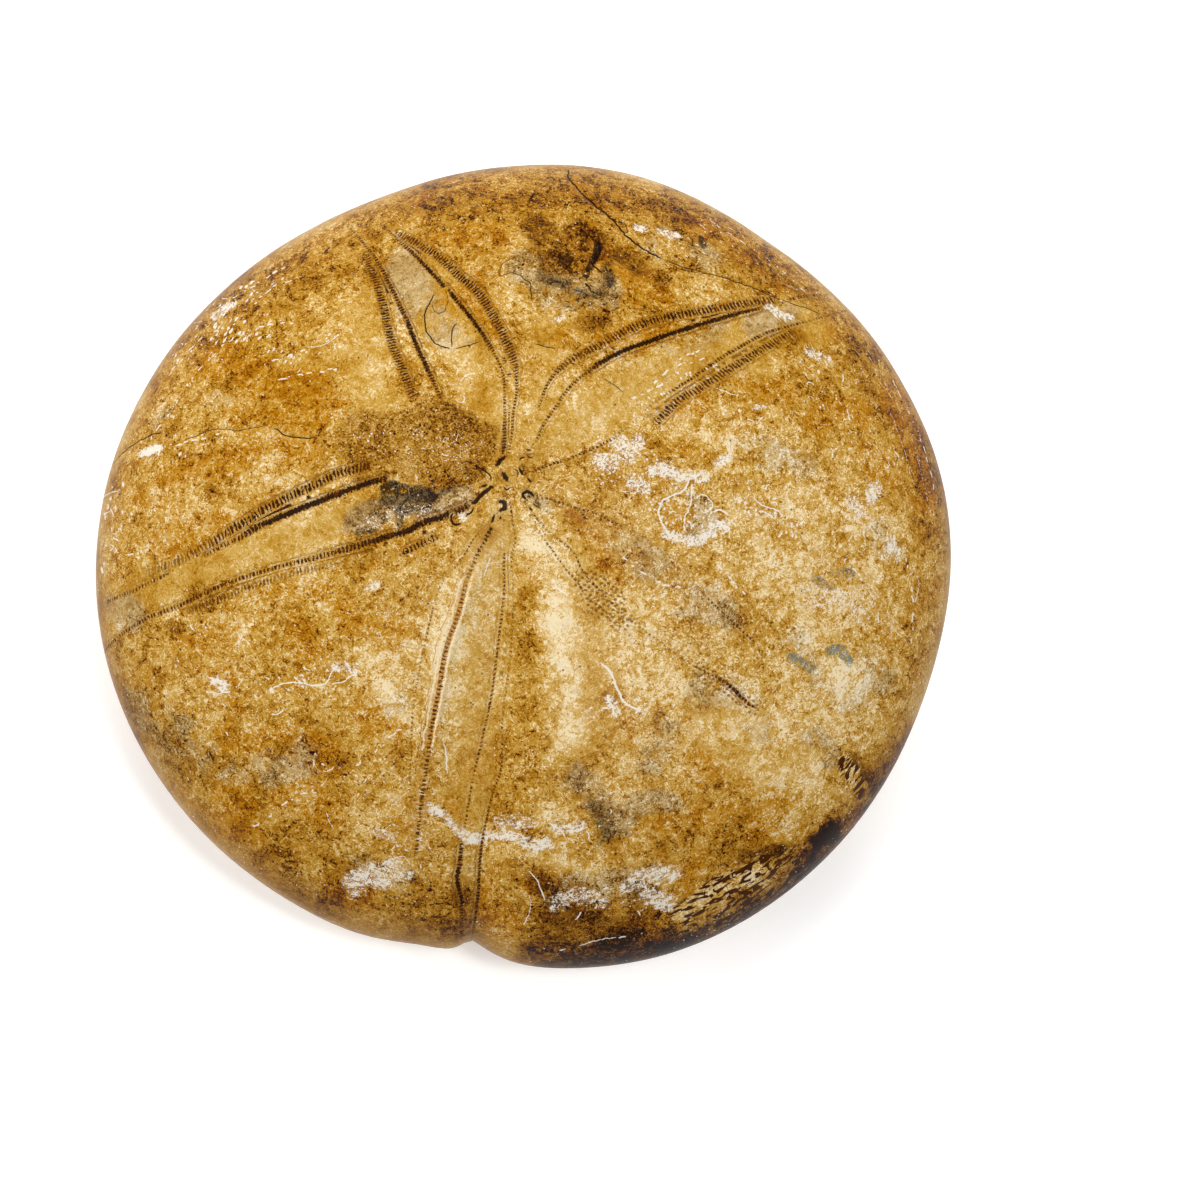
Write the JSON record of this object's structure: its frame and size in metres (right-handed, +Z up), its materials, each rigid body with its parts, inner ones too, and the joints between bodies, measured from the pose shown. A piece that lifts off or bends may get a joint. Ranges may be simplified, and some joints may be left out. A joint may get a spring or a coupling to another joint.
{
  "type": "fossil sea urchin",
  "caption": "Polished fossil sea urchin, a low rounded dome of amber and cream stone with a petal pattern on top, a notch in its front edge and a flat ring underneath to rest on.",
  "frame": {"origin": "on the surface it rests on, under the centre of its outline's box", "axes": "+Z up through the dome, +X across its width, -Y towards the front edge with the notch"},
  "size_m": [0.0736, 0.0698, 0.0225],
  "materials": {
    "polished_fossil_stone": "polished amber, cream and brown calcite stone with dark pore rows"
  },
  "bodies": {
    "root": {"fossil_urchin": "polished_fossil_stone"}
  },
  "joints": []
}
